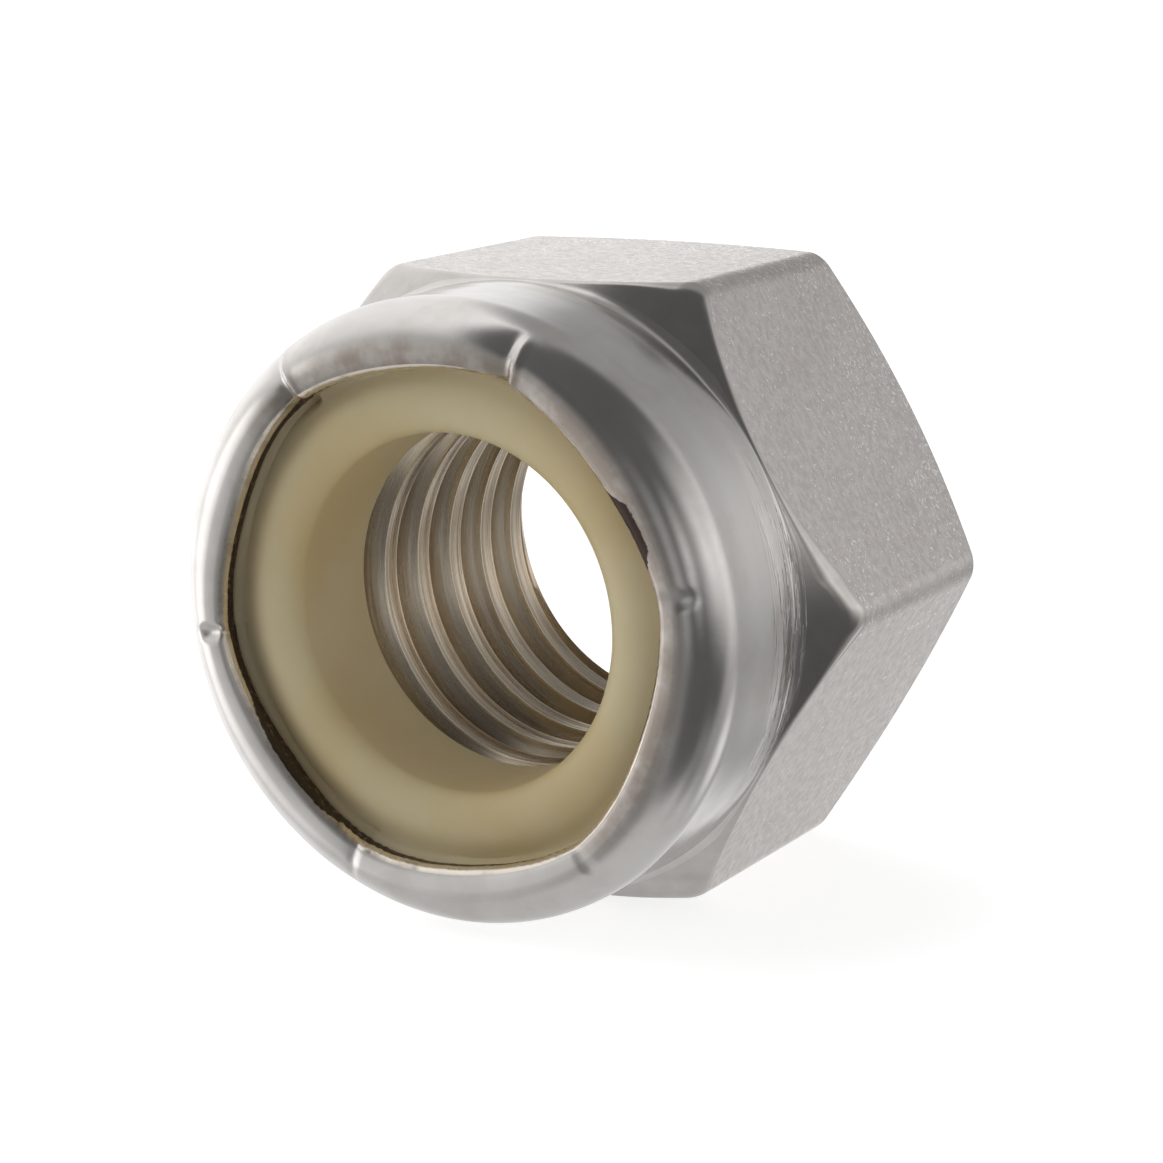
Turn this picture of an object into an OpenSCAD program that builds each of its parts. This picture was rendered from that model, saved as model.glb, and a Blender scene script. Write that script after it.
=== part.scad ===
// Nylon insert lock nut, 5/8-11 UNC, lying on one of its hexagon flats.
// It is made of two pieces: a one-piece stainless steel body and a nylon ring that the rolled-in collar holds.
// Both are drawn standing on the bearing face, collar up, and laid down together at the end.

/* [Hexagon] */
// Distance across the hexagon's flats
across_flats = 23.7; // [23.4:0.1:24.2]
// Radius of the hexagon's six long edges
corner_r = 0.6; // [0.2:0.1:1.2]
// Height of the long edges, from the bearing face to the shoulder
corner_height = 11.35; // [9.5:0.05:12]
// Slope of the conical shoulder between the long edges and the collar, in degrees
shoulder_angle = 40; // [30:1:45]
// Diameter of the flat ring on the bearing face
bearing_d = 22.7; // [21.5:0.1:23.2]
// Slope of the bearing-side chamfer, in degrees
chamfer_angle = 30; // [15:1:35]

/* [Collar] */
// Height of the whole nut, from the bearing face to the top of the rolled lip
nut_height = 19.3; // [18.6:0.1:20.5]
// Outer diameter of the collar
collar_d = 23.5; // [22.8:0.1:23.6]
// Thickness of the collar's wall
collar_wall = 0.95; // [0.8:0.05:1.2]
// Diameter of the opening inside the rolled lip
lip_d = 18.7; // [17.6:0.1:19.4]

/* [Crimps] */
// Number of crimps pressed into the rolled collar
crimps = 6; // [3:1:8]
// Turn of the first crimp from a long edge of the hexagon, in degrees
crimp_turn = 10; // [0:1:60]
// Radius of the groove that a crimp leaves in the steel
crimp_r = 0.45; // [0.35:0.05:0.6]
// Depth of that groove below the top of the lip
crimp_depth = 0.65; // [0.45:0.05:0.75]
// Slope of the groove down the dome of the collar, in degrees
crimp_slope = 18; // [10:1:22]
// Thickness of the steel pushed in below a crimp
crimp_wall = 0.5; // [0.4:0.05:0.6]
// How far a crimp pushes its tongue of steel in past the lip
crimp_reach = 0.15; // [0.05:0.05:0.25]

/* [Thread] */
// Minor diameter of the 5/8-11 thread, at its crests
thread_minor_d = 13.85; // [13.4:0.05:13.9]
// Major diameter of the 5/8-11 thread, at its roots
thread_major_d = 15.875; // [15.875:0.005:16.05]
// Margin of the countersink's mouth around the thread's major diameter
countersink_margin = 0.35; // [0.1:0.05:0.8]
// Width of the chamfer where the thread meets the insert
thread_end_chamfer = 0.3; // [0.2:0.05:0.6]

/* [Nylon insert] */
// Height of the insert's seat above the bearing face
seat_height = 13.6; // [13:0.1:14.5]
// Diameter of the insert's bore, which the bolt cuts its way through
insert_bore_d = 13.5; // [13:0.1:14.2]
// Radius of the soft edge at the mouth of the insert's bore
insert_edge_r = 0.85; // [0.4:0.05:1.2]
// Clearance between the insert and the steel around it
insert_clearance = 0.05; // [0.02:0.01:0.1]

/* [Hidden] */

$fn = 96;
overshoot = 1;

collar_r = collar_d / 2;
pocket_r = collar_r - collar_wall;
thread_r = thread_minor_d / 2;
insert_bore_r = insert_bore_d / 2;
bearing_r = bearing_d / 2;
countersink_r = thread_major_d / 2 + countersink_margin;

// The wall of the collar rolls in through a quarter turn about this centre and ends in a round nose.
nose_r = collar_wall / 2;
roll_centre_r = lip_d / 2 + nose_r;
roll_r = collar_r - roll_centre_r;
roll_inner_r = roll_r - collar_wall;
roll_height = nut_height - roll_r;

// How far each crimp's groove runs from the centre of the roll: in past the lip, and out over the dome.
crimp_inward = nose_r + crimp_reach;
crimp_outward = roll_r;

// The hexagon's sharp corners, before its long edges are rounded.
hexagon_r = across_flats / 2 / cos(30);
shoulder_top = corner_height + (hexagon_r - collar_r) * tan(shoulder_angle);
chamfer_height = (hexagon_r - bearing_r) * tan(chamfer_angle);

// The insert follows the inside of the rolled wall.
insert_r = pocket_r - insert_clearance;
insert_top = nut_height - collar_wall - insert_clearance;
insert_roll_r = roll_inner_r - insert_clearance;
insert_bore_top = insert_top - insert_edge_r;

// Hexagon with rounded corners: straight sides between circles that touch them.
module rounded_hexagon() {
    corner_centre_r = (across_flats / 2 - corner_r) / cos(30);
    side_half = hexagon_r / 2 - corner_r * tan(30);
    polygon([
        for (side = [0:5], end = [-1, 1])
            let (angle = 60 * side + 30)
                [across_flats / 2 * cos(angle) - end * side_half * sin(angle),
                 across_flats / 2 * sin(angle) + end * side_half * cos(angle)]
    ]);
    for (corner = [0:5])
        rotate(60 * corner)
            translate([corner_centre_r, 0])
                circle(corner_r);
}

// What turning leaves of the hexagon bar: a chamfered bearing face and a conical shoulder.
module turned_envelope() {
    rotate_extrude()
        polygon([
            [0, 0],
            [bearing_r, 0],
            [hexagon_r, chamfer_height],
            [hexagon_r, corner_height],
            [collar_r, shoulder_top],
            [0, shoulder_top]
        ]);
}

module hexagon_block() {
    intersection() {
        linear_extrude(height = shoulder_top)
            rounded_hexagon();
        turned_envelope();
    }
}

// Outside of the collar: a straight wall, a dome that rolls in, and a flat top over the roll's centre.
module collar_blank() {
    rotate_extrude() {
        square([collar_r, roll_height]);
        square([roll_centre_r, nut_height]);
        translate([roll_centre_r, roll_height])
            intersection() {
                circle(roll_r);
                square(roll_r);
            }
    }
}

// Space inside the collar: the insert's pocket, the inside of the roll and the opening, less the lip's round nose.
module hollow() {
    rotate_extrude() {
        translate([0, seat_height])
            square([pocket_r, roll_height - seat_height]);
        translate([roll_centre_r, roll_height])
            intersection() {
                circle(roll_inner_r);
                square(roll_inner_r);
            }
        difference() {
            translate([0, roll_height])
                square([roll_centre_r, roll_r + overshoot]);
            translate([roll_centre_r, nut_height - nose_r])
                circle(nose_r);
        }
    }
}

// A round bar that lies across the rolled wall and slopes down its dome, at each crimp.
module crimp_bars(bar_r) {
    groove_bottom = nut_height - crimp_depth;
    for (k = [0:crimps - 1])
        rotate(crimp_turn + k * 360 / crimps)
            translate([roll_centre_r, 0, groove_bottom])
                rotate([0, 90 + crimp_slope, 0])
                    translate([-crimp_r, 0, -crimp_inward])
                        cylinder(r = bar_r, h = crimp_inward + crimp_outward, $fn = 32);
}

// Steel that each crimp pushes in below the rolled wall.
module crimp_bumps(extra) {
    intersection() {
        crimp_bars(crimp_r + crimp_wall + extra);
        rotate_extrude()
            translate([roll_centre_r - crimp_inward, roll_height])
                square([crimp_inward + roll_inner_r, roll_r - nose_r]);
    }
}

module bore() {
    translate([0, 0, -overshoot])
        cylinder(r = thread_r, h = seat_height + 2 * overshoot);
    translate([0, 0, -overshoot])
        cylinder(r1 = countersink_r + overshoot, r2 = thread_r,
                 h = countersink_r + overshoot - thread_r);
    translate([0, 0, seat_height - thread_end_chamfer])
        cylinder(r1 = thread_r, r2 = thread_r + thread_end_chamfer, h = thread_end_chamfer);
}

module nut_body() {
    color("silver")
        difference() {
            union() {
                hexagon_block();
                collar_blank();
            }
            difference() {
                hollow();
                crimp_bumps(0);
            }
            bore();
            crimp_bars(crimp_r);
        }
}

// Section of the insert: flat seat, outer corner that follows the rolled wall, soft edge at the bore.
module insert_section() {
    translate([insert_bore_r, seat_height])
        square([insert_r - insert_bore_r, roll_height - seat_height]);
    translate([insert_bore_r + insert_edge_r, roll_height])
        square([roll_centre_r - insert_bore_r - insert_edge_r, insert_top - roll_height]);
    translate([insert_bore_r, roll_height])
        square([insert_edge_r, insert_bore_top - roll_height]);
    translate([roll_centre_r, roll_height])
        circle(insert_roll_r);
    translate([insert_bore_r + insert_edge_r, insert_bore_top])
        circle(insert_edge_r);
}

module nylon_insert() {
    color("khaki")
        difference() {
            rotate_extrude()
                insert_section();
            crimp_bumps(insert_clearance);
            crimp_bars(crimp_r);
        }
}

// Lays the nut on a flat, collar towards -Y, with its box centred over the origin.
module laid_down() {
    translate([0, nut_height / 2, across_flats / 2])
        rotate([90, 0, 0])
            children();
}

laid_down() nut_body();
laid_down() nylon_insert();
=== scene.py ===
"""A nylon insert lock nut that lies on one of its flats: a stainless steel body and the nylon ring in its collar."""

import math
from collections import namedtuple
from functools import partial

import bpy
import numpy as np
from mathutils import Matrix, Vector


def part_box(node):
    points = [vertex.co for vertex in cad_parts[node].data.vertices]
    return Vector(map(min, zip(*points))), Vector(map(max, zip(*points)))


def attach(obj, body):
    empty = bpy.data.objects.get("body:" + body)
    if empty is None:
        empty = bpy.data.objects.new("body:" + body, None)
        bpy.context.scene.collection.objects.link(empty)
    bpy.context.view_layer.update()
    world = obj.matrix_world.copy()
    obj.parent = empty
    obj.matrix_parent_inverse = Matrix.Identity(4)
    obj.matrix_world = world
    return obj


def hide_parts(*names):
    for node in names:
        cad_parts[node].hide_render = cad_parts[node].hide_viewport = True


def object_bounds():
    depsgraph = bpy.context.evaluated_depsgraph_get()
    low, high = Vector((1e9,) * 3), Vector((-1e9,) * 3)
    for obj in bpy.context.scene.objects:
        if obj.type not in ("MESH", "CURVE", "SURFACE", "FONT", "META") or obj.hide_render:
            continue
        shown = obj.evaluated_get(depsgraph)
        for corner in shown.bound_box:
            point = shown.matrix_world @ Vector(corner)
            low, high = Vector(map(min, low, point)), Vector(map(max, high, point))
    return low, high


bl_info = {
    "name": "Nylon Insert Lock Nut",
    "version": (1, 0, 0),
    "blender": (4, 5, 0),
    "location": "3D View > Sidebar > Lock Nut",
    "description": "Models a crimped nylon insert lock nut around its packed frame, with its materials and stage",
    "category": "Add Mesh",
}

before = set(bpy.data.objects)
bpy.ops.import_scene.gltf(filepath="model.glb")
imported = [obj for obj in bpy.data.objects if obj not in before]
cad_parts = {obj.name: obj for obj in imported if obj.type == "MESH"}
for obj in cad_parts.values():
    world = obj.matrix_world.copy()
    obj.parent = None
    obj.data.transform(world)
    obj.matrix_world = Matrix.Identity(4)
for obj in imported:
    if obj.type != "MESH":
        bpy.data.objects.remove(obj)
CAD_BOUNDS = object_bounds()
BODY_LOW, BODY_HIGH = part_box("nut_body")

MM = 0.001
FLATS = 6

# Columns that each piece's section is spun in, and the angle in degrees from which an edge stays sharp
BODY_COLUMNS, BODY_SHARP = 480, 40
RING_COLUMNS, RING_SHARP = 360, 50

# Slots of the body's finishes
BEARING, FLAT, SHOULDER, COLLAR, LIP, SHEARED, THREAD = range(7)


def colour(hex_value):
    """A hex sRGB colour as the linear values that Blender's sockets take."""
    channels = [int(hex_value[i : i + 2], 16) / 255 for i in (1, 3, 5)]
    return [c / 12.92 if c <= 0.04045 else ((c + 0.055) / 1.055) ** 2.4 for c in channels]


def length(name, description, default, low, high):
    """A property that holds a length in metres."""
    return bpy.props.FloatProperty(
        name=name, description=description, default=default, min=low, max=high, precision=5, unit="LENGTH")


def slope(name, description, default, low, high):
    """A property that holds an angle, which is given here in degrees."""
    return bpy.props.FloatProperty(
        name=name, description=description, default=math.radians(default), min=math.radians(low),
        max=math.radians(high), subtype="ANGLE", unit="ROTATION")


def tone(name, description, hex_value):
    """A property that holds a colour."""
    return bpy.props.FloatVectorProperty(
        name=name, description=description, default=colour(hex_value), subtype="COLOR", size=3, min=0, max=1)


class LockNutSizes(bpy.types.PropertyGroup):
    """Sizes of the nut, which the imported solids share."""

    across_flats: length(
        "Across Flats", "Distance between opposite flats", BODY_HIGH.z - BODY_LOW.z, 0.005, 0.1)
    height: length(
        "Height", "From the bearing face to the top of the lip", BODY_HIGH.y - BODY_LOW.y, 0.005, 0.1)
    corner_radius: length("Corner Radius", "Radius of the six long edges", 0.0011, 0.0002, 0.002)
    corner_height: length(
        "Corner Height", "From the bearing face to the shoulder, along a long edge", 0.01135, 0.005, 0.05)
    shoulder_angle: slope("Shoulder Angle", "Slope of the conical shoulder below the collar", 40, 20, 60)
    bearing_diameter: length(
        "Bearing Diameter", "Outside of the flat ring on the bearing face", 0.0227, 0.005, 0.1)
    chamfer_angle: slope("Chamfer Angle", "Slope of the chamfer on the bearing side", 30, 10, 45)
    collar_diameter: length("Collar Diameter", "Outside of the collar", 0.0235, 0.005, 0.1)
    collar_wall: length("Collar Wall", "Thickness of the collar's wall", 0.00095, 0.0003, 0.003)
    lip_diameter: length("Lip Diameter", "Opening inside the rolled lip", 0.0187, 0.005, 0.1)
    minor_diameter: length("Minor Diameter", "Thread at its crests", 0.01385, 0.003, 0.1)
    major_diameter: length("Major Diameter", "Thread at its roots", 0.015875, 0.003, 0.1)
    pitch: length("Pitch", "Rise of the thread per turn, eleven to the inch", 0.0254 / 11, 0.0005, 0.01)
    countersink_diameter: length(
        "Countersink", "Mouth of the countersink on the bearing face", 0.016575, 0.003, 0.1)
    seat_height: length("Seat Height", "Seat of the nylon ring above the bearing face", 0.0136, 0.003, 0.1)
    ring_bore: length("Ring Bore", "Bore of the nylon ring", 0.0135, 0.003, 0.1)


class LockNutFinish(bpy.types.PropertyGroup):
    """Colours of the steel and the nylon."""

    steel: tone("Steel", "Clean passivated stainless steel", "#D8D5D2")
    steel_deep: tone("Steel Deep", "Stainless steel in its tool marks", "#B3ADA8")
    flat_steel: tone("Flat Steel", "Cold-drawn skin of the hexagon's flats", "#CBC4C0")
    # The nicks are real marks in the skin; their near white colour is a painted glint
    nick_glint: tone("Nick", "Fine nicks in the cold-drawn skin, lightened near white as a painted glint", "#F6F2EE")
    # The lip's nose is burnished bare metal, lightened as a painted highlight
    lip_highlight_steel: tone("Lip Steel", "Bare metal of the lip's nose, lightened as a painted highlight", "#F0E7DA")
    lip_stain: tone("Lip Stain", "Dull steel beside the lip", "#958A80")
    # The sheared face is torn metal, darkened as painted shade of the lip's inner face
    sheared: tone("Sheared", "Torn metal of the lip's sheared face, darkened as painted shade", "#5E514A")
    # Painted shade along the lip's edge, for the dark gap between the lip and the nylon; the thread's darker parts take
    # this colour too
    oil: tone("Oil", "Painted shade along the lip's edge, and the darker parts of the thread", "#2B1D1A")
    # The thread's two colours are brownish as a painted reflection of the nylon ring
    thread_steel: tone("Thread Steel", "Tapped stainless steel, where the tap burnished it", "#E6DBC9")
    thread_deep: tone("Thread Deep", "Torn metal in the thread, brownish as a painted reflection of the nylon", "#C8B69D")
    nylon: tone("Nylon", "Undyed moulded nylon 6/6", "#F8E8BF")
    nylon_deep: tone("Nylon Deep", "Nylon where it is thick", "#EFDAA6")
    # Painted shadow of the lip on the nylon beside it
    lip_shadow: tone("Soil", "Soiled nylon beside the lip", "#7A6A5A")


def sizes_mm():
    """The sizes in millimetres, as a plain dictionary, with the ones that follow from them."""
    group = bpy.context.scene.lock_nut_sizes
    mm = {name: getattr(group, name) / MM for name in LockNutSizes.__annotations__ if not name.endswith("angle")}
    mm["shoulder_slope"] = math.tan(group.shoulder_angle)
    mm["chamfer_slope"] = math.tan(group.chamfer_angle)
    mm["flat_r"] = mm["across_flats"] / 2
    mm["sharp_r"] = mm["flat_r"] / math.cos(math.pi / FLATS)
    for name in ("collar", "bearing", "countersink", "minor", "major", "lip"):
        mm[name + "_r"] = mm[name + "_diameter"] / 2
    mm["pocket_r"] = mm["collar_r"] - mm["collar_wall"]
    mm["roll_centre_r"] = mm["lip_r"] + mm["collar_wall"] / 2
    mm["roll_r"] = mm["collar_r"] - mm["roll_centre_r"]
    mm["roll_height"] = mm["height"] - mm["roll_r"]
    return mm


# Crimps, each pressed a little differently by a worn tool: turn in degrees, then in millimetres the depth, half width,
# length and lean of its dimple, the depth and width of the fold beside it (below zero on the side of the crimp before),
# and the height of the fold's ridge
CRIMPS = (
    (11.0, 0.08, 0.40, 2.20, 0.02, 0.00, 0.60, 0.00),
    (69.5, 0.00, 0.30, 2.60, 0.24, 0.26, 1.00, 0.05),
    (126.5, 0.00, 0.30, 3.40, 0.16, 0.36, 0.75, 0.06),
    (188.5, 0.24, 0.42, 1.55, 0.05, 0.03, 0.50, 0.02),
    (248.5, 0.04, 0.22, 1.95, 0.16, -0.10, 0.40, 0.00),
    (308.5, 0.06, 0.36, 2.25, 0.14, 0.00, 0.60, 0.00),
)

# Radius at which the crimps' widths are measured, in millimetres
CRIMP_R = 10

# The crimps draw the lip out to a soft hexagon: by so many millimetres, and furthest at this turn in degrees
HEXAGONAL_LIP, LIP_TURN = 0.13, 10

# Depth in millimetres of the notch that each crimp leaves in the lip
LIP_NOTCH = 0.03

# Stretches of the lip that the die turned down further: middle and half length in degrees, and depth in millimetres
TURNED_DOWN = ((152, 16, 0.05), (222, 12, 0.07))

# Painted shade along the lip's edge, for the dark gap between the lip and the nylon: middle and half length in degrees,
# width in millimetres
LIP_SHADE = ((-5, 52, 0.13), (27, 13, 0.60), (224, 34, 0.12))

# A crest of the thread passes this height above the bearing face at zero degrees, in millimetres
CREST_HEIGHT = 1.18

# The thread's own map: metres along the helix, and metres across it from the middle of the crest
THREAD_MAP = "thread_helix"

# How much painted shade of the gap between lip and nylon lies on each vertex, from none to full
LIP_SHADE_SHARE = "oil_share"

# The last column of a spun section stops this far short of the first, in radians, so the two can be told apart
SPIN_GAP = 1e-4


def place_section(name, rows, start_r):
    """A loop of vertices for a turned section, each at a place of its own from a radius in millimetres on."""
    mm = sizes_mm()
    bpy.ops.object.select_all(action="DESELECT")
    bpy.ops.mesh.primitive_circle_add(vertices=rows, radius=mm["flat_r"] * MM, calc_uvs=False)
    piece = bpy.context.object
    piece.name = piece.data.name = name
    for row, vertex in enumerate(piece.data.vertices):
        r, z = start_r + 0.001 * row, 0.05 * row
        vertex.co = (r * MM, (mm["height"] / 2 - z) * MM, mm["flat_r"] * MM)
    return piece


def spin_section(columns):
    """Spins the active section once around the nut's axis, in edit mode."""
    mm = sizes_mm()
    bpy.ops.object.mode_set(mode="EDIT")
    bpy.ops.mesh.select_all(action="SELECT")
    bpy.ops.mesh.spin(
        steps=columns, angle=2 * math.pi - SPIN_GAP,
        center=(0, 0, mm["flat_r"] * MM), axis=(0, -1, 0))
    bpy.ops.object.mode_set(mode="OBJECT")


def shape_spun(piece, angles, section, helix=None, oil=None):
    """Moves each spun vertex onto the section of its own column, and returns the row of each vertex.

    Section holds (radius, height) in millimetres, by column and by row. The body's section comes with its places on
    the helix, also in millimetres, and its share of painted shade.
    """
    mm = sizes_mm()
    mesh = piece.data
    columns, rows = len(angles) - 1, section.shape[1]
    if len(mesh.vertices) != rows * (columns + 1):
        raise RuntimeError(f"{piece.name} has {len(mesh.vertices)} vertices after its spin")
    co = np.empty(len(mesh.vertices) * 3)
    mesh.vertices.foreach_get("co", co)
    co = co.reshape(-1, 3)
    # The spin goes from the last column back to the first
    column = columns - np.repeat(np.arange(columns + 1), rows)
    row = np.tile(np.arange(rows), columns + 1)
    first_r = np.tile(co[:rows, 0], columns + 1)
    spun = (column - columns) / columns * (2 * math.pi - SPIN_GAP)
    expected = np.stack([first_r * np.cos(spun), first_r * np.sin(spun) + mm["flat_r"] * MM], 1)
    if not np.allclose(co[:, (0, 2)], expected, atol=1e-6):
        raise RuntimeError(f"{piece.name} has its spun vertices in another order")
    r, z = section[column, row, 0], section[column, row, 1]
    theta = angles[column]
    co[:, 0] = r * np.cos(theta) * MM
    co[:, 1] = (mm["height"] / 2 - z) * MM
    co[:, 2] = (mm["flat_r"] + r * np.sin(theta)) * MM
    mesh.vertices.foreach_set("co", co.ravel())
    if helix is not None:
        corners = np.empty(len(mesh.loops), dtype=int)
        mesh.loops.foreach_get("vertex_index", corners)
        flat = helix[column, row][corners] * MM
        mesh.uv_layers.new(name=THREAD_MAP).uv.foreach_set("vector", flat.ravel())
    if oil is not None:
        mesh.attributes.new(LIP_SHADE_SHARE, "FLOAT", "POINT").data.foreach_set("value", oil[column, row])
    return row


def finish_by_row(piece, row, finish):
    """Gives each face the material slot of its row."""
    mesh = piece.data
    rows = len(finish)
    slots = []
    for polygon in mesh.polygons:
        ids = sorted({int(row[v]) for v in polygon.vertices})
        lower = ids[-1] if ids[0] == 0 and ids[-1] == rows - 1 else ids[0]
        slots.append(finish[lower])
    mesh.polygons.foreach_set("material_index", slots)


def close_seam(sharp):
    """Merges the first and last columns, points all faces outwards and smooths the faces up to a sharp angle."""
    bpy.ops.object.mode_set(mode="EDIT")
    bpy.ops.mesh.select_all(action="SELECT")
    bpy.ops.mesh.remove_doubles(threshold=2e-6)
    bpy.ops.mesh.normals_make_consistent(inside=False)
    bpy.ops.object.mode_set(mode="OBJECT")
    bpy.ops.object.shade_smooth_by_angle(angle=math.radians(sharp))


def level_row(r, z, count):
    """A row of a section with the same radius and height at every angle."""
    return np.tile([r, z], (count, 1))


def rounded_rows(corners, count):
    """Rows of a section whose corners are (radius, height, rounding, steps), in millimetres.

    The first and last corners only give the directions in which the section goes on.
    """
    pts = [np.stack([np.broadcast_to(c[0], count), np.broadcast_to(c[1], count)], 1).astype(float) for c in corners]
    rows = []
    for before, here, after, (_, _, rounding, steps) in zip(pts, pts[1:], pts[2:], corners[1:]):
        if not steps:
            rows.append(here)
            continue
        back, on = before - here, after - here
        back_length = np.linalg.norm(back, axis=1, keepdims=True)
        on_length = np.linalg.norm(on, axis=1, keepdims=True)
        back, on = back / back_length, on / on_length
        opening = np.arccos(np.clip((back * on).sum(1, keepdims=True), -1, 1))
        half_turn = (math.pi - opening) / 2
        # A rounding takes up to 0.42 of the sides next to it, and a row close to each of its ends keeps them flat
        reach = np.minimum(rounding * np.tan(half_turn), 0.42 * np.minimum(back_length, on_length))
        start, end, weight = here + back * reach, here + on * reach, np.cos(half_turn)
        rows.append(start + back * np.minimum(0.05, 0.07 * back_length))
        for t in np.linspace(0, 1, steps + 1):
            pull = 2 * t * (1 - t) * weight
            rows.append(((1 - t) ** 2 * start + pull * here + t * t * end) / ((1 - t) ** 2 + pull + t * t))
        rows.append(end + on * np.minimum(0.05, 0.07 * on_length))
    return rows


def off_corner(theta):
    """Angle from the nearest long edge of the hexagon."""
    return (theta + math.pi / FLATS) % (2 * math.pi / FLATS) - math.pi / FLATS


def off_turn(theta, degrees):
    """Angle from a turn that is given in degrees, within half a circle either way."""
    return (theta - math.radians(degrees) + math.pi) % (2 * math.pi) - math.pi


def hexagon_radius(theta, mm):
    """Distance from the axis to the hexagon with its rounded long edges, at each angle."""
    off = off_corner(theta)
    to_flat = mm["flat_r"] / np.cos(math.pi / FLATS - np.abs(off))
    centre = (mm["flat_r"] - mm["corner_radius"]) / math.cos(math.pi / FLATS)
    across = centre * np.sin(off)
    inside = np.maximum(mm["corner_radius"] ** 2 - across**2, 0)
    to_edge = centre * np.cos(off) + np.sqrt(inside)
    edge_end = np.arctan2(mm["corner_radius"] * math.sin(math.pi / FLATS),
                          centre + mm["corner_radius"] * math.cos(math.pi / FLATS))
    return np.where(np.abs(off) <= edge_end, to_edge, to_flat)


def crimp_field(theta, along):
    """How deep the crimps press the collar, so many millimetres out from the lip, and how far they open the lip."""
    depth = np.zeros(np.broadcast(theta, along).shape)
    opened = np.zeros_like(depth)
    for turn, deep, wide, long, lean, fold, fold_wide, ridge in CRIMPS:
        reach = np.clip(along / long, 0, 1)
        across = off_turn(theta, turn) * CRIMP_R - lean * reach
        # A boat-shaped dimple, widest halfway out
        depth += deep * np.clip(1 - (across / wide) ** 2 - ((along / long - 0.5) / 0.5) ** 2, 0, 1) ** 1.4
        # A fold: the steel drops behind a ridge and comes back slowly
        behind = across if fold >= 0 else -across
        drop = np.where(behind > 0, np.exp(-np.clip(behind - 0.1, 0, 9) / fold_wide), np.exp(-((behind / 0.15) ** 2)))
        depth += abs(fold) * drop * np.clip(1 - reach, 0, 1) ** 0.7
        depth -= ridge * np.exp(-(((behind + 0.26) / 0.19) ** 2)) * (1 - reach**2)
        # The steel around a crimp sinks a little with it
        depth += 0.04 * np.exp(-((across / 1.6) ** 2)) * np.clip(1 - along / 3.0, 0, 1)
        opened += LIP_NOTCH * np.exp(-((across / 0.5) ** 2)) + 0.03 * np.exp(-((across / 1.4) ** 2))
    for middle, half, deep in TURNED_DOWN:
        share = np.exp(-((off_turn(theta, middle) / math.radians(half)) ** 2))
        depth += deep * share * np.clip(1 - along / 0.75, 0, 1) ** 1.4
    return depth, opened


def hexagonal_lip(theta):
    """How far out of round the lip is at each angle, in millimetres."""
    return HEXAGONAL_LIP * np.cos(FLATS * (theta - math.radians(LIP_TURN)))


def lip_burr(theta):
    """Small ragged rise of the sheared lip, in millimetres, worst at the lower left."""
    worst = 0.35 + 0.65 * np.exp(-(((theta - math.radians(238)) / 0.5) ** 2))
    ragged = np.sin(theta * 61 + 1) * np.sin(theta * 97) + 0.6 * np.sin(theta * 173 + 2) * np.sin(theta * 23)
    return 0.03 * worst * ragged


def lip_shade_width(theta):
    """How far out from the lip's edge the painted shade reaches, in millimetres, and below zero where there is none."""
    clean = -0.4
    reach = np.full(len(theta), clean)
    for middle, half, wide in LIP_SHADE:
        share = np.clip(1 - (off_turn(theta, middle) / math.radians(half)) ** 2, 0, 1) ** 0.8
        reach = np.maximum(reach, (wide - clean) * share + clean)
    return reach


def thread_radius(off_crest, mm):
    """Radius of the tapped thread, by the distance along the axis from the middle of a crest."""
    half_pitch = mm["pitch"] / 2
    off = np.abs((off_crest + half_pitch) % mm["pitch"] - half_pitch)
    height = mm["major_r"] - mm["minor_r"]
    flank = height * math.tan(math.radians(30))
    root_flat = mm["pitch"] / 8
    crest_half = half_pitch - root_flat / 2 - flank
    radius = mm["minor_r"] + np.clip((off - crest_half) / flank, 0, 1) * height
    # The tap leaves a shallow claw groove between two fine burrs on each crest
    claw = 0.10 * np.clip(1 - (off / (crest_half * 0.83)) ** 2, 0, 1)
    return radius + claw


# A row of the body's section: its points at every angle, its finish, and where it has them its place on the helix and
# its share of painted shade
Row = namedtuple("Row", "points finish helix oil", defaults=(None, None))


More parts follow.
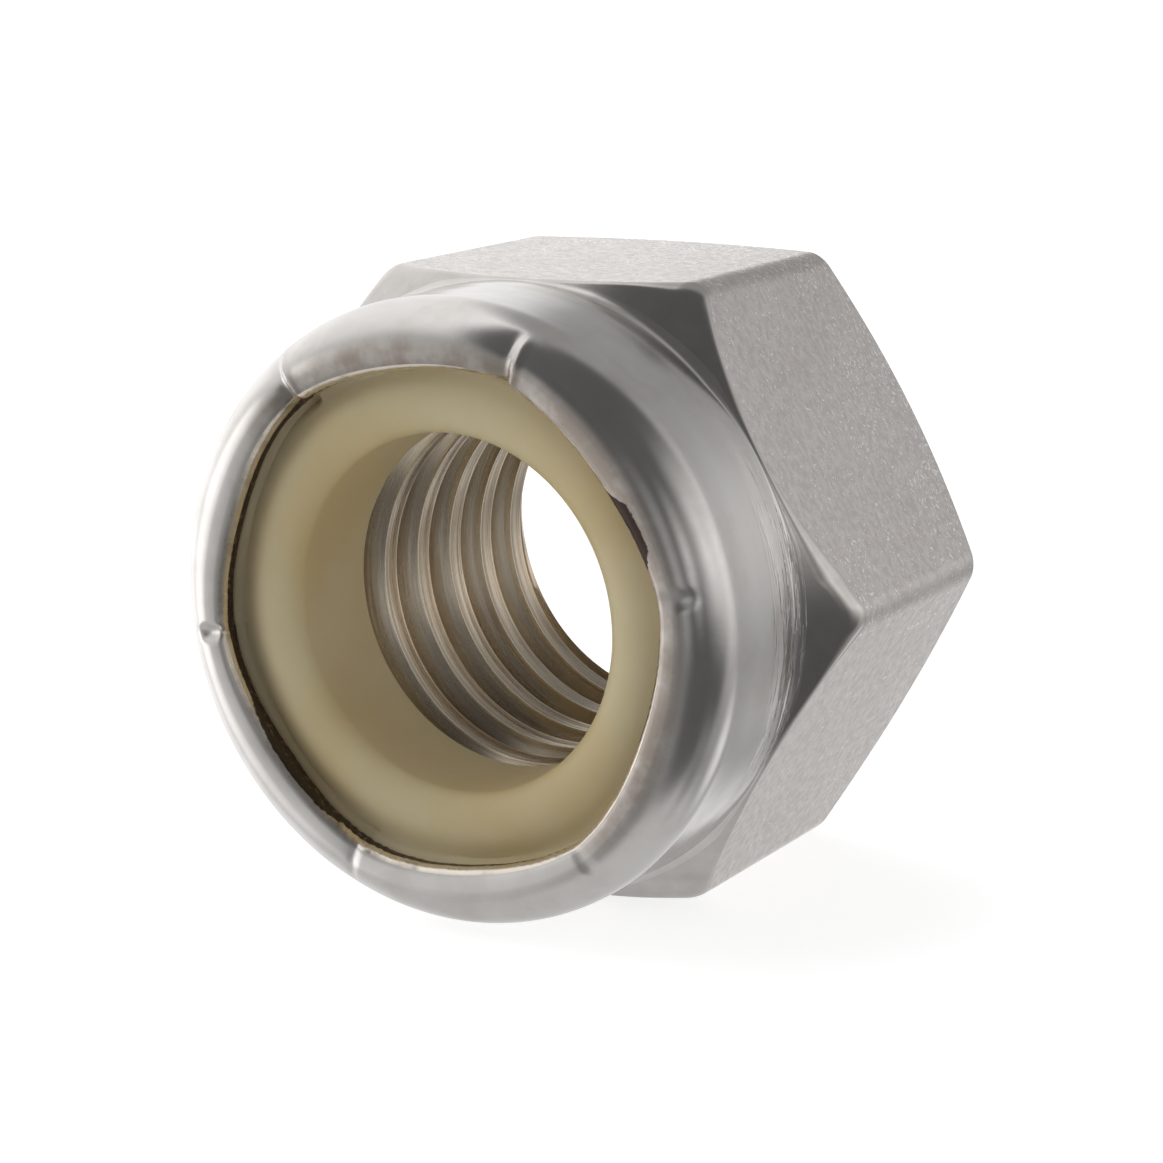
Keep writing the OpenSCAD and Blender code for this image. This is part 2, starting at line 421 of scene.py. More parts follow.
def hexagon_rows(theta, mm):
    """Rows from the countersink over the bearing face, the flats and the shoulder to the top of the collar's wall."""
    count = len(theta)
    outline_r = hexagon_radius(theta, mm)
    chamfer_z = (outline_r - mm["bearing_r"]) * mm["chamfer_slope"]
    shoulder_z = mm["corner_height"] + (mm["sharp_r"] - outline_r) * mm["shoulder_slope"]
    base_z = mm["corner_height"] + (mm["sharp_r"] - mm["collar_r"]) * mm["shoulder_slope"]
    span = shoulder_z - chamfer_z
    bearing = rounded_rows([
        (mm["minor_r"], mm["countersink_r"] - mm["minor_r"], 0, 0),
        (mm["countersink_r"], 0, 0.06, 2),
        (9.3, 0, 0, 0), (10.3, 0, 0, 0),
        (mm["bearing_r"], 0, 0.3, 4),
        (outline_r, chamfer_z, 0, 0)], count)
    edge = rounded_rows([
        (mm["bearing_r"], 0, 0, 0),
        ((mm["bearing_r"] + outline_r) / 2, chamfer_z / 2, 0, 0),
        (outline_r, chamfer_z, 0.12, 4),
        (outline_r, chamfer_z + span * 0.1, 0, 0)], count)
    flat = [np.stack([outline_r, chamfer_z + span * share], 1) for share in (0.1, 0.3, 0.5, 0.7, 0.8)]
    # The edge between flat and shoulder is worn round at the corners, and most on one stretch
    worn = 0.28 + 1.0 * np.exp(-((off_corner(theta) / math.radians(6)) ** 2))
    worn += 1.4 * np.exp(-(((theta - math.radians(15)) / math.radians(9)) ** 4))
    shoulder = rounded_rows([
        (outline_r, chamfer_z + span * 0.8, 0, 0),
        (outline_r, shoulder_z, worn[:, None], 6),
        (mm["collar_r"], base_z, 0.7, 7),
        (mm["collar_r"], base_z + 0.8, 0, 0)], count)
    # The wall steps in a little where it starts to bend
    step, bend_z = 0.025, 14.05
    wall = [level_row(mm["collar_r"] - step / (1 + math.exp(-(z - bend_z) / 0.12)), z, count)
            for z in (13.5, 13.7, 13.9, bend_z, 14.2, 14.4, 14.7, 15.2, 15.9, mm["roll_height"] - 0.3)]
    finishes = (
        (BEARING, bearing + edge[:-3]), (FLAT, edge[-3:] + flat), (SHOULDER, shoulder[:9]),
        (COLLAR, shoulder[9:] + wall))
    return [Row(points, finish) for finish, rows in finishes for points in rows]


def collar_rows(theta, mm):
    """Rows over the dome and around the lip, which the crimps press in, and inside the collar down to the seat."""
    count = len(theta)
    top, under, nose = mm["height"], mm["height"] - mm["collar_wall"], mm["collar_wall"] * 0.44
    # The dome turns in past its top to a narrow flat. Each point has its radius and height, the direction across the
    # surface and the distance out from the lip.
    top_flat = 0.28
    dome_r, fall = mm["roll_centre_r"] + top_flat, mm["roll_r"] - top_flat
    turns = np.concatenate([np.linspace(0, 1.2, 13), np.linspace(1.27, math.pi / 2, 6)])
    dome = [(dome_r + fall * math.cos(a), mm["roll_height"] + mm["roll_r"] * math.sin(a), math.cos(a), math.sin(a),
             (math.pi / 2 - a) * mm["roll_r"] + 0.75) for a in turns]
    edge = [(mm["lip_r"] + nose * (1 - math.sin(a)), top - 0.03 - nose * (1 - math.cos(a)), -0.5 * math.sin(a), 1,
             nose * (1 - math.sin(a))) for a in np.radians((0, 15, 28, 40, 50, 60, 70, 80, 90))]
    edge += [
        (mm["lip_r"] + 0.015, top - 0.64, 0, 1, 0),
        (mm["lip_r"] + 0.05, under + 0.1, 0, 1, 0), (mm["lip_r"] + 0.12, under + 0.02, 0, 1, 0.1),
        (mm["lip_r"] + 0.3, under, 0, 1, 0.3), (mm["roll_centre_r"], under, 0, 1, 0.475),
    ]
    burr, shade_reach = lip_burr(theta), lip_shade_width(theta)
    burr_reach, shade_border = 0.3, 0.14
    rows = []
    for r, z, normal_r, normal_z, along in dome + edge:
        depth, opened = crimp_field(theta, np.full(count, along))
        lip_share = np.clip(1 - along / 2.6, 0, 1) ** 1.5
        new_r = r - depth * normal_r + lip_share * (hexagonal_lip(theta) + opened)
        new_z = np.minimum(z - depth * normal_z, mm["height"])
        if along < burr_reach:
            ragged = 1 - along / burr_reach
            new_r, new_z = new_r - burr * ragged, new_z - 0.5 * np.abs(burr) * ragged
        on_dome = normal_r >= 0 and along > 0.6
        finish = COLLAR if on_dome or z > top - 0.06 else LIP if z > top - nose - 0.02 else SHEARED
        # Share of painted shade along the lip's edge
        oil = np.clip((shade_reach - along) / shade_border + 0.5, 0, 1)
        rows.append(Row(np.stack([new_r, new_z], 1), finish, oil=oil))
    inner_r = mm["roll_r"] - mm["collar_wall"]
    for a in np.linspace(math.pi / 2, 0, 6)[1:]:
        r, z = mm["roll_centre_r"] + inner_r * math.cos(a), mm["roll_height"] + inner_r * math.sin(a)
        rows.append(Row(level_row(r, z, count), SHEARED))
    return rows + [Row(level_row(r, mm["seat_height"], count), SHOULDER) for r in (mm["pocket_r"], 9.0, 8.2)]


def thread_rows(theta, mm):
    """Rows of the thread, which follow its helix and stop at the seat and at the bearing face."""
    half_pitch = mm["pitch"] / 2
    offsets = (-half_pitch, -1.01, -0.80, -0.60, -0.445, -0.405, -0.35, -0.2, 0, 0.2, 0.35, 0.405, 0.445, 0.60, 0.80,
               1.01, half_pitch)
    end_chamfer = 0.3
    rise = mm["pitch"] * theta / (2 * math.pi)
    last_turn = math.ceil((mm["seat_height"] - CREST_HEIGHT) / mm["pitch"]) + 1
    rows = []
    for lap in range(last_turn, -3, -1):
        for offset in reversed(offsets):
            level = CREST_HEIGHT + lap * mm["pitch"] + offset
            z = np.clip(level + rise, 0, mm["seat_height"])
            off_crest = z - rise - CREST_HEIGHT - lap * mm["pitch"]
            countersink = mm["countersink_r"] - z
            chamfer = mm["minor_r"] + end_chamfer - (mm["seat_height"] - z)
            r = np.maximum(np.maximum(thread_radius(off_crest, mm), countersink), chamfer)
            # Unrolled along the helix: millimetres along the crest, and across it
            helix = np.stack([(theta + 2 * math.pi * lap) * mm["minor_r"], off_crest], 1)
            rows.append(Row(np.stack([r, z], 1), THREAD, helix))
    return rows


def steel_section(theta, mm):
    """The body's section at each angle, with the finish of each row, its places on the helix and its share of painted
    shade.
    """
    rows = hexagon_rows(theta, mm) + collar_rows(theta, mm) + thread_rows(theta, mm)
    none = np.zeros(len(theta))
    helix = [level_row(0, 0, len(theta)) if row.helix is None else row.helix for row in rows]
    oil = [none if row.oil is None else row.oil for row in rows]
    return (np.stack([row.points for row in rows], 1), [row.finish for row in rows],
            np.stack(helix, 1), np.stack(oil, 1))


def warped_angles(columns):
    """Angles of the columns, closer together at the hexagon's corners and at the crimps."""
    even = np.linspace(0, 2 * math.pi, columns + 1)
    middle = math.radians(5)
    return even - 0.7 * (np.sin(FLATS * (even - middle)) + math.sin(FLATS * middle)) / FLATS


def add_node(tree, kind, inputs=(), **settings):
    """Adds a shader node with its settings, and gives it its inputs, by name or in the node's own order.

    An input that is a socket is linked, one that is a node is linked from its first output, and any other is set.
    """
    node = tree.nodes.new("ShaderNode" + kind)
    for name, value in settings.items():
        setattr(node, name, value)
    for name, value in inputs.items() if isinstance(inputs, dict) else enumerate(inputs):
        if isinstance(value, bpy.types.Node):
            value = value.outputs[0]
        if isinstance(value, bpy.types.NodeSocket):
            tree.links.new(value, node.inputs[name])
        else:
            node.inputs[name].default_value = value
    return node


# Map Range takes a value from one range to another (from low, from high, to low, to high), softened at both ends
SOFT = {"interpolation_type": "SMOOTHSTEP"}


def empty_nodes(owner):
    """Empties the nodes of a material or world, and returns the function that adds one to it."""
    owner.use_nodes = True
    owner.node_tree.nodes.clear()
    return partial(add_node, owner.node_tree)


def axis_distance(add, x, z):
    """Distance from the nut's axis, and height above it."""
    axis = (CAD_BOUNDS[0].z + CAD_BOUNDS[1].z) / 2
    up = add("Math", (z, axis), operation="SUBTRACT")
    return add("VectorMath", [add("CombineXYZ", (x, up))], operation="LENGTH").outputs["Value"], up


def around_axis(add, x, y, z):
    """A place for marks that run around the axis, slow along the circle, with the distance from the axis.

    It is fast along the distance plus the height, which grows over every turned surface.
    """
    radius, up = axis_distance(add, x, z)
    over = add("Math", (radius, y), operation="ADD")
    slow = [add("Math", (part, 0.02), operation="MULTIPLY") for part in (x, up)]
    return add("CombineXYZ", (*slow, over)), radius


def steel_material(name, base, deep, roughness, grain, anisotropy=0.0):
    """Stainless steel whose colour, roughness and relief follow a grain of tool marks."""
    material = bpy.data.materials.new(name)
    add = empty_nodes(material)
    marks = grain(add, add("TexCoord").outputs["Object"])
    surface = add("Mix", {"Factor": marks["tint"], "A": (*base, 1), "B": (*deep, 1)}, data_type="RGBA")
    # Painted shade along the lip's edge, and the thread's darker parts, laid over the steel's colour
    if "oil" in marks:
        oil = (*bpy.context.scene.lock_nut_finish.oil, 1)
        surface = add("Mix", {"Factor": marks["oil"], "A": surface.outputs["Result"], "B": oil}, data_type="RGBA")
    rough = add("MapRange", {"Value": marks["rough"], "To Min": roughness[0], "To Max": roughness[1]})
    bump = None
    for height, distance in marks["relief"]:
        below = {"Normal": bump} if bump else {}
        bump = add("Bump", {"Height": height, "Strength": 1.0, "Distance": distance, **below})
    inputs = {"Base Color": surface.outputs["Result"], "Metallic": 1.0, "Roughness": rough, "Normal": bump}
    if anisotropy:
        tangent = add("Tangent", direction_type="UV_MAP", uv_map=THREAD_MAP)
        inputs.update({"Anisotropic": anisotropy, "Anisotropic Rotation": 0.25, "Tangent": tangent})
    add("OutputMaterial", [add("BsdfPrincipled", inputs)])
    return material


def rolled_flat(add, place):
    """Cold-drawn hexagon bar: a satin skin, mottled at a fifth of a millimetre, with fine nicks that are lightened to
    near white as a painted glint.
    """
    _, y, z = add("SeparateXYZ", [place]).outputs
    skin = add("TexNoise", {"Vector": place, "Scale": 9000, "Roughness": 0.6})
    drawn = add("Mapping", {"Vector": place, "Scale": (0.7, 1.0, 0.7)})
    mottle = add("TexNoise", {"Vector": drawn, "Scale": 4200, "Detail": 3, "Roughness": 0.6})
    cloud = add("TexNoise", {"Vector": place, "Scale": 260})
    # Nicks run along the hexagon's sides, in drifts, and are closer together by the bearing face
    drawn = add("Mapping", {"Vector": place, "Scale": (0.8, 1.0, 0.8)})
    nicks = add("TexNoise", {"Vector": drawn, "Scale": 8500, "Detail": 0})
    drift = add("TexNoise", {"Vector": place, "Scale": 420})
    chance = add("Math", (add("MapRange", (drift, 0.3, 0.7, -0.06, 0.05), **SOFT),
                          add("MapRange", (z, 0.009, 0.013, -0.09, 0.0), **SOFT)), operation="ADD")
    chance = add("Math", (add("MapRange", (y, 0.0, 0.0095, -0.03, 0.03), **SOFT), chance), operation="ADD")
    nicks = add("Math", (nicks, chance), operation="ADD")
    whole = add("MapRange", (nicks, 0.66, 0.71, 1.0, 0.0), **SOFT)
    tint = add("Math", (add("MapRange", (cloud, 0.3, 0.75, 0.9, 1.0), **SOFT),
                        add("MapRange", (mottle, 0.3, 0.7, 0.6, 1.0), **SOFT)), operation="MULTIPLY")
    smooth = add("MapRange", (whole, 0.0, 1.0, 0.2, 1.0), **SOFT)
    return {"tint": add("Math", (tint, whole), operation="MULTIPLY"),
            "rough": add("Math", (mottle, smooth), operation="MULTIPLY"),
            "relief": [(mottle, 5.0e-6), (skin, 1.0e-6), (whole, 8e-6)]}


def turned_face(add, place):
    """Lathe-turned steel: fine rings that a facing tool leaves, about ten to the millimetre."""
    turned, _ = around_axis(add, *add("SeparateXYZ", [place]).outputs)
    rings = add("TexNoise", {"Vector": turned, "Scale": 9000})
    cloud = add("TexNoise", {"Vector": place, "Scale": 700, "Detail": 4, "Roughness": 0.6})
    return {"tint": cloud, "rough": cloud, "relief": [(rings, 1.0e-6), (cloud, 5e-6)]}


def lip_shade_mask(add, place):
    """Painted shade along the lip's edge, for the dark gap between the lip and the nylon, with a ragged border."""
    share = add("Attribute", attribute_name=LIP_SHADE_SHARE).outputs["Fac"]
    ragged = add("TexNoise", {"Vector": place, "Scale": 2600, "Detail": 3, "Roughness": 0.6})
    ragged = add("MapRange", (ragged, 0.25, 0.75, -0.12, 0.12), **SOFT)
    return add("MapRange", (add("Math", (share, ragged), operation="ADD"), 0.40, 0.62, 0.0, 0.92), **SOFT)


def formed_collar(add, place):
    """Press-formed collar: smooth from sliding in the die, with faint rings, slight waves and scratches by its foot."""
    x, y, z = add("SeparateXYZ", [place]).outputs
    turned, radius = around_axis(add, x, y, z)
    rings = add("TexNoise", {"Vector": turned, "Scale": 5000, "Detail": 3})
    # Marks that the die dragged along the foot of the collar on one side, a few millimetres long
    dragged = add("Mapping", {"Vector": turned, "Scale": (3.5, 3.5, 1.0)})
    scratches = add("TexNoise", {"Vector": dragged, "Scale": 4200, "Detail": 3, "Roughness": 0.65})
    scratches = add("MapRange", (scratches, 0.5, 0.68), **SOFT)
    where = add("Math", (add("MapRange", (x, 0.0098, 0.0112), **SOFT),
                         add("MapRange", (y, -0.0052, -0.0036), **SOFT)), operation="MULTIPLY")
    scratches = add("Math", (scratches, where), operation="MULTIPLY")
    waves = add("TexNoise", {"Vector": place, "Scale": 230, "Detail": 1})
    blotch = add("TexNoise", {"Vector": place, "Scale": 700, "Detail": 3, "Roughness": 0.6})
    mottle = add("TexNoise", {"Vector": place, "Scale": 3000, "Detail": 3, "Roughness": 0.6})
    cloud = add("TexNoise", {"Vector": place, "Scale": 420, "Detail": 4, "Roughness": 0.6})
    # The steel is duller where the die turned it in, next to the lip, and a little stained there on the upper right
    near_lip = add("MapRange", (radius, 0.0100, 0.0110, 1.0, 0.0), **SOFT)
    upper_right = add("MapRange", (add("Math", (x, z), operation="ADD"), 0.006, 0.014, 0.0, 1.0), **SOFT)
    stained = add("Math", (near_lip, upper_right), operation="MULTIPLY")
    stained = add("Math", (stained, add("MapRange", (blotch, 0.3, 0.6, 0.55, 0.9), **SOFT)), operation="MULTIPLY")
    tint = add("Math", (add("MapRange", (cloud, 0.35, 0.8, 0.0, 0.25), **SOFT), stained), operation="MAXIMUM")
    rough = add("Math", (add("Math", (cloud, 0.5), operation="MULTIPLY"), near_lip), operation="MAXIMUM")
    # The lip's edge takes painted shade for the gap between the lip and the nylon
    return {"tint": tint, "rough": rough, "oil": lip_shade_mask(add, place),
            "relief": [(waves, 2.0e-5), (blotch, 3.5e-6), (mottle, 1.2e-6), (rings, 6e-7), (scratches, -3.5e-5)]}


def burnished_lip(add, place):
    """Nose of the lip, burnished by the die and lightened as a painted highlight, with small nicks and painted shade
    along its edge.
    """
    torn = add("TexNoise", {"Vector": place, "Scale": 4200, "Detail": 3, "Roughness": 0.65})
    cloud = add("TexNoise", {"Vector": place, "Scale": 900, "Detail": 3})
    return {"tint": add("MapRange", (cloud, 0.5, 0.9), **SOFT), "rough": torn, "oil": lip_shade_mask(add, place),
            "relief": [(torn, 5.0e-6)]}


def sheared_lip(add, place):
    """Sheared face of the lip: torn across its thickness, darkened as painted shade, with a few bright points."""
    torn = add("TexNoise", {"Vector": place, "Scale": 3800, "Detail": 4, "Roughness": 0.7})
    return {"tint": add("MapRange", (torn, 0.68, 0.54), **SOFT), "rough": torn, "relief": [(torn, 2.5e-5)]}


def tapped_thread(add, place):
    """Tapped thread: streaks that run with the helix, torn by the tap, tinted brownish as a painted reflection of the
    nylon ring.
    """
    helix = add("UVMap", uv_map=THREAD_MAP)
    fine, streaks, chatter = (
        add("TexNoise", {"Vector": add("Mapping", {"Vector": helix, "Scale": (along, 1.0, 1.0)}), "Scale": scale,
                         "Detail": detail, "Roughness": roughness})
        for along, scale, detail, roughness in (
            (0.010, 15000, 2, 0.6), (0.02, 5200, 4, 0.7), (0.6, 2400, 3, 0.6)))
    cloud = add("TexNoise", {"Vector": place, "Scale": 420, "Detail": 3})
    across = add("SeparateXYZ", [helix]).outputs["Y"]
    # The tap leaves a bright burr along the edge of each crest that faces the collar, and a fainter one on the other
    burrs, edge = [], 0.00040
    for side, near, far, bright in (("SUBTRACT", 0.00003, 0.00008, 1.0), ("ADD", 0.00002, 0.00006, 0.5)):
        off = add("Math", [add("Math", (across, edge), operation=side)], operation="ABSOLUTE")
        burrs.append(add("MapRange", (off, near, far, bright, 0.0), **SOFT))
    dull = add("Math", (1.0, add("Math", burrs, operation="MAXIMUM")), operation="SUBTRACT")
    tint = add("Math", (add("MapRange", (streaks, 0.32, 0.68, 0.1, 1.0), **SOFT),
                        add("MapRange", (cloud, 0.25, 0.7, 0.6, 1.0), **SOFT)), operation="MULTIPLY")
    # The thread is darker towards the bottom, and a little darker in the groove of each crest
    height = add("SeparateXYZ", [place]).outputs["Z"]
    lower_darkening = add("Math", (add("MapRange", (height, 0.0050, 0.0078, 0.45, 0.0), **SOFT), dull), operation="MULTIPLY")
    crest = add("MapRange", (add("Math", [across], operation="ABSOLUTE"), 0.00030, 0.00038, 0.15, 0.0), **SOFT)
    return {"tint": add("Math", (tint, dull), operation="MULTIPLY"), "rough": streaks,
            "oil": add("Math", (lower_darkening, crest), operation="MAXIMUM"),
            "relief": [(streaks, 2.2e-5), (fine, 1.1e-5), (chatter, 4e-6)]}


def nylon_material():
    """Natural nylon 6/6: warm, slightly translucent, softly glossy from the mould, a little uneven."""
    finish = bpy.context.scene.lock_nut_finish
    material = bpy.data.materials.new("moulded_natural_nylon_66")
    add = empty_nodes(material)
    place = add("TexCoord").outputs["Object"]
    cloud = add("TexNoise", {"Vector": place, "Scale": 130, "Detail": 3})
    grain = add("TexNoise", {"Vector": place, "Scale": 1500, "Detail": 3, "Roughness": 0.6})
    swell = add("TexNoise", {"Vector": place, "Scale": 320})
    uneven = add("MapRange", (cloud, 0.3, 0.7), **SOFT)
    tint = add("Mix", {"Factor": uneven, "A": (*finish.nylon, 1), "B": (*finish.nylon_deep, 1)}, data_type="RGBA")
    # Painted shadow of the lip on the nylon beside it, on the left
    x, _, z = add("SeparateXYZ", [place]).outputs
    radius, _ = axis_distance(add, x, z)
    shadowed = add("Math", (add("MapRange", (radius, 0.0083, 0.0096), **SOFT),
                          add("MapRange", (x, -0.001, -0.007, 0.0, 0.6), **SOFT)), operation="MULTIPLY")
    skin = add("Mix", {"Factor": shadowed, "A": tint.outputs["Result"], "B": (*finish.lip_shadow, 1)}, data_type="RGBA")
    broad = add("Bump", {"Height": swell, "Strength": 1.0, "Distance": 4e-5})
    fine = add("Bump", {"Height": grain, "Normal": broad, "Strength": 1.0, "Distance": 3e-6})
    shader = add("BsdfPrincipled", {
        "Base Color": skin.outputs["Result"], "Normal": fine, "Roughness": 0.45, "IOR": 1.53,
        "Subsurface Weight": 0.35, "Subsurface Radius": (1.0, 0.75, 0.45), "Subsurface Scale": 0.0012})
    add("OutputMaterial", [shader])
    return material


class LOCKNUT_OT_steel_body(bpy.types.Operator):
    """Model the one-piece steel body, with its helical thread, rolled lip and crimps"""

    bl_idname = "lock_nut.steel_body"
    bl_label = "Steel Body"
    bl_options = {"REGISTER", "UNDO"}

    def execute(self, context):
        finish = context.scene.lock_nut_finish
        angles = warped_angles(BODY_COLUMNS)
        section, slots, helix, oil = steel_section(angles, sizes_mm())
        piece = place_section("steel_body", len(slots), 10)
        spin_section(BODY_COLUMNS)
        row = shape_spun(piece, angles, section, helix, oil)
        for material in (
            steel_material("turned_bearing_face_stainless", finish.steel, finish.steel_deep, (0.2, 0.34), turned_face),
            steel_material("cold_drawn_bar_stainless", finish.nick_glint, finish.flat_steel, (0.2, 0.44), rolled_flat),
            steel_material("turned_shoulder_stainless", finish.steel, finish.steel_deep, (0.14, 0.26), turned_face),
            steel_material("press_formed_stainless", finish.steel, finish.lip_stain, (0.12, 0.40), formed_collar),
            steel_material("burnished_stainless", finish.lip_highlight_steel, finish.lip_stain, (0.2, 0.4), burnished_lip),
            steel_material("sheared_stainless", finish.lip_stain, finish.sheared, (0.3, 0.55), sheared_lip),
            steel_material("tapped_stainless", finish.thread_steel, finish.thread_deep, (0.16, 0.38), tapped_thread,
                           anisotropy=0.5),
        ):
            piece.data.materials.append(material)
        finish_by_row(piece, row, slots)
        close_seam(BODY_SHARP)
        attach(piece, "root")
        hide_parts("nut_body")
        return {"FINISHED"}


def ring_section(theta, mm):
    """The nylon ring's section at each angle."""
    count = len(theta)
    bore_r, clearance = mm["ring_bore"] / 2, 0.05
    seat, under = mm["seat_height"], mm["height"] - mm["collar_wall"] - clearance
    outer_r = mm["pocket_r"] - clearance
    roll = mm["roll_r"] - mm["collar_wall"] - clearance
    rows = rounded_rows([
        (outer_r, seat + 1, 0, 0),
        (outer_r, seat, 0.2, 3),
        (9.0, seat, 0, 0),
        (bore_r, seat, 0.12, 3),
        (bore_r, seat + 0.6, 0, 0)], count)
    rows += [level_row(bore_r, z, count) for z in np.linspace(seat + 0.8, 17.3, 7)]
    # The mouth of the bore meets it at a faint edge, swells into the face, and dips where the lip presses on it
    mouth = [(6.75, 17.50), (6.758, 17.57), (6.785, 17.65), (6.85, 17.76), (6.95, 17.87), (7.08, 17.97), (7.25, 18.06),
             (7.45, 18.13), (7.70, 18.18), (7.95, 18.20), (8.2, 18.19), (8.45, 18.15), (8.7, 18.08), (8.92, 17.99),
             (9.10, 17.94), (9.20, 17.93)]
    rows += [level_row(bore_r - 6.75 + r, z, count) for r, z in mouth]
    # It is squeezed up against the lip, and follows its hexagonal shape
    depth, opened = crimp_field(theta, np.zeros(count))
    for r, drop in ((9.30, 0.36), (9.36, 0.31), (9.41, 0.24), (9.46, 0.16), (9.54, 0.07)):
        rows.append(np.stack([r + hexagonal_lip(theta) + opened, under - drop - np.maximum(depth, 0)], 1))
    for r, drop in ((9.78, 0.05), (9.82, 0.03)):
        depth, _ = crimp_field(theta, np.full(count, r - mm["lip_r"]))
        rows.append(np.stack([np.full(count, r), under - drop - np.maximum(depth, 0)], 1))
    for a in np.linspace(math.pi / 2, 0, 7):
        depth, _ = crimp_field(theta, np.full(count, mm["collar_wall"] / 2 + (math.pi / 2 - a) * mm["roll_r"]))
        reach = roll - np.maximum(depth, 0) * 1.05
        rows.append(np.stack([mm["roll_centre_r"] + reach * math.cos(a),
                              mm["roll_height"] + reach * math.sin(a)], 1))
    rows.append(level_row(outer_r, seat + 2.2, count))
    return np.stack(rows, 1)


class LOCKNUT_OT_nylon_ring(bpy.types.Operator):
    """Model the nylon ring that the rolled collar traps"""

    bl_idname = "lock_nut.nylon_ring"
    bl_label = "Nylon Ring"
    bl_options = {"REGISTER", "UNDO"}

    def execute(self, context):
        angles = warped_angles(RING_COLUMNS)
        section = ring_section(angles, sizes_mm())
        piece = place_section("nylon_ring", section.shape[1], 8)
        spin_section(RING_COLUMNS)
        shape_spun(piece, angles, section)
        piece.data.materials.append(nylon_material())
        close_seam(RING_SHARP)
        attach(piece, "root")
        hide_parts("nylon_insert")
        return {"FINISHED"}


def direction(azimuth, elevation):
    """Unit vector towards a compass direction in degrees: 0 is the front, 90 the right, and 90 up is overhead."""
    azimuth, elevation = math.radians(azimuth), math.radians(elevation)
    return Vector((math.sin(azimuth) * math.cos(elevation), -math.cos(azimuth) * math.cos(elevation),
                   math.sin(elevation)))


# Soft zones that the steel mirrors, each over the ones before it and all over the room's own grey: azimuth, elevation,
# half width and half of the soft edge in degrees, and grey level
ROOM_LEVEL = 0.64
SURROUNDINGS = (
    (162, 58, 87, 32, 1.10),
    (-104, -9, 22, 30, 1.60),
    (127, 20, 73, 8, 0.38),
    (54, 22, 72, 7, 0.12),
    (98, 17, 9, 31, 1.49),
    (129, 10, 13, 31, 1.36),
    (17, 0, 14, 12, 0.45),
    (54, 12, 11, 12, 0.80),
    (148, -35, 10, 10, 1.00),
    (-170, -12, 16, 8, 1.30),
    (-4, -25, 17, 14, 0.32),
    (88, -45, 12, 8, 0.25),
    (-62, -8, 20, 8, 1.80),
)
WHITE = (1, 1, 1, 1)


def studio_world(scene):
    """Plain soft surroundings for the light and for what the steel mirrors, where the camera sees only white."""
    world = bpy.data.worlds.new("studio")
    add = empty_nodes(world)
    towards = add("TexCoord").outputs["Generated"]
    level = ROOM_LEVEL
    for azimuth, elevation, half, edge, grey in SURROUNDINGS:
        near = add("VectorMath", (towards, direction(azimuth, elevation)), operation="DOT_PRODUCT")
        angle = add("Math", [near.outputs["Value"]], operation="ARCCOSINE")
        inside = add("MapRange", (angle, math.radians(half - edge), math.radians(half + edge), 1.0, 0.0), **SOFT)
        level = add("Mix", {"Factor": inside, "A": level, "B": grey}, data_type="FLOAT").outputs["Result"]
    room = add("Background", {"Color": WHITE, "Strength": level})
    white = add("Background", {"Color": WHITE, "Strength": 1.0})
    seen = add("LightPath").outputs["Is Camera Ray"]
    add("OutputWorld", [add("MixShader", (seen, room, white))])
    scene.world = world


def floor_material():
    """Matt white paper, which the camera sees as white with the nut's shadow on it.

    Metal mirrors the plain surroundings through it, as it mirrors them everywhere else.
    """
    material = bpy.data.materials.new("matt_white_paper")
    add = empty_nodes(material)
    path = add("LightPath").outputs
    paper = add("BsdfDiffuse", {"Color": (0.9, 0.9, 0.9, 1)})
    glow = add("Emission", {"Color": WHITE, "Strength": 0.72})
    lit = add("MixShader", (path["Is Camera Ray"], paper, add("AddShader", (paper, glow))))
    mirrored = add("Math", (path["Is Glossy Ray"], path["Is Transmission Ray"]), operation="MAXIMUM")
    add("OutputMaterial", [add("MixShader", (mirrored, lit, add("BsdfTransparent")))])
    return material


# The camera at the photograph's viewing angle: its place in metres, its directions, and its focal length in pixels of
# the photograph, which is square and so many pixels wide
CAMERA_PLACE = (0.059707, -0.09764, 0.038252)
CAMERA_RIGHT = (0.85728, 0.51472, -0.01193)
CAMERA_UP = (-0.10747, 0.20156, 0.97356)
FOCAL_PIXELS = 3019.7
FRAME_PIXELS = 1163
SENSOR_MM = 36
FLOOR_SIZE = 6


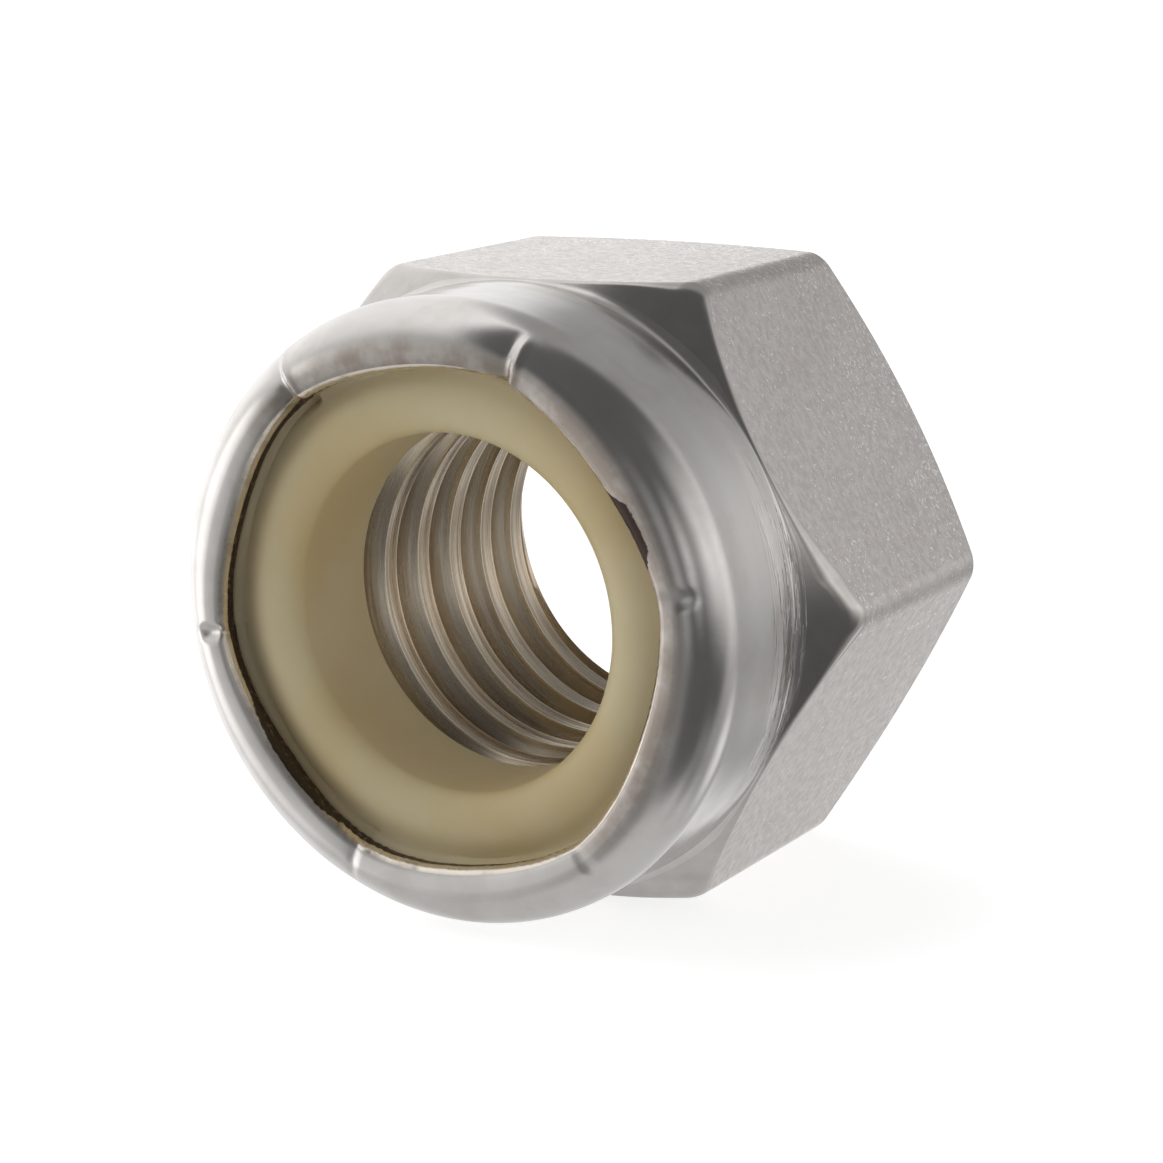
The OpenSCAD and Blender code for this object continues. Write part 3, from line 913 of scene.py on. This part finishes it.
class LOCKNUT_OT_stage(bpy.types.Operator):
    """Set the floor, the soft light and the camera around the nut"""

    bl_idname = "lock_nut.stage"
    bl_label = "Stage"
    bl_options = {"REGISTER", "UNDO"}

    def execute(self, context):
        scene = context.scene
        bpy.ops.object.select_all(action="DESELECT")
        bpy.ops.mesh.primitive_plane_add(size=FLOOR_SIZE, location=(0, 0, 0))
        floor = context.object
        floor.name = "floor"
        floor.data.materials.append(floor_material())
        studio_world(scene)
        camera = bpy.data.objects.new("camera", bpy.data.cameras.new("camera"))
        right, up = Vector(CAMERA_RIGHT).normalized(), Vector(CAMERA_UP)
        back = right.cross(up).normalized()
        up = back.cross(right)
        turned = Matrix((right, up, back)).transposed().to_4x4()
        camera.matrix_world = Matrix.Translation(CAMERA_PLACE) @ turned
        camera.data.sensor_width = SENSOR_MM
        camera.data.lens = FOCAL_PIXELS / FRAME_PIXELS * SENSOR_MM
        camera.data.clip_start = 0.005
        camera.data.clip_end = 20
        scene.collection.objects.link(camera)
        scene.camera = camera
        scene.view_settings.view_transform = "Standard"
        return {"FINISHED"}


class LOCKNUT_PT_panel(bpy.types.Panel):
    """The lock nut's operators and values"""

    bl_label = "Lock Nut"
    bl_idname = "LOCKNUT_PT_panel"
    bl_space_type = "VIEW_3D"
    bl_region_type = "UI"
    bl_category = "Lock Nut"

    def draw(self, context):
        layout = self.layout
        for operator in OPERATORS:
            layout.operator(operator.bl_idname)
        for group in (context.scene.lock_nut_sizes, context.scene.lock_nut_finish):
            column = layout.column()
            for name in type(group).__annotations__:
                column.prop(group, name)


OPERATORS = (LOCKNUT_OT_steel_body, LOCKNUT_OT_nylon_ring, LOCKNUT_OT_stage)
CLASSES = (LockNutSizes, LockNutFinish, *OPERATORS, LOCKNUT_PT_panel)


def register():
    for cls in CLASSES:
        bpy.utils.register_class(cls)
    bpy.types.Scene.lock_nut_sizes = bpy.props.PointerProperty(type=LockNutSizes)
    bpy.types.Scene.lock_nut_finish = bpy.props.PointerProperty(type=LockNutFinish)


def unregister():
    del bpy.types.Scene.lock_nut_finish
    del bpy.types.Scene.lock_nut_sizes
    for cls in reversed(CLASSES):
        bpy.utils.unregister_class(cls)


def main():
    register()
    bpy.ops.lock_nut.steel_body()
    bpy.ops.lock_nut.nylon_ring()
    bpy.ops.lock_nut.stage()


if __name__ == "__main__":
    main()
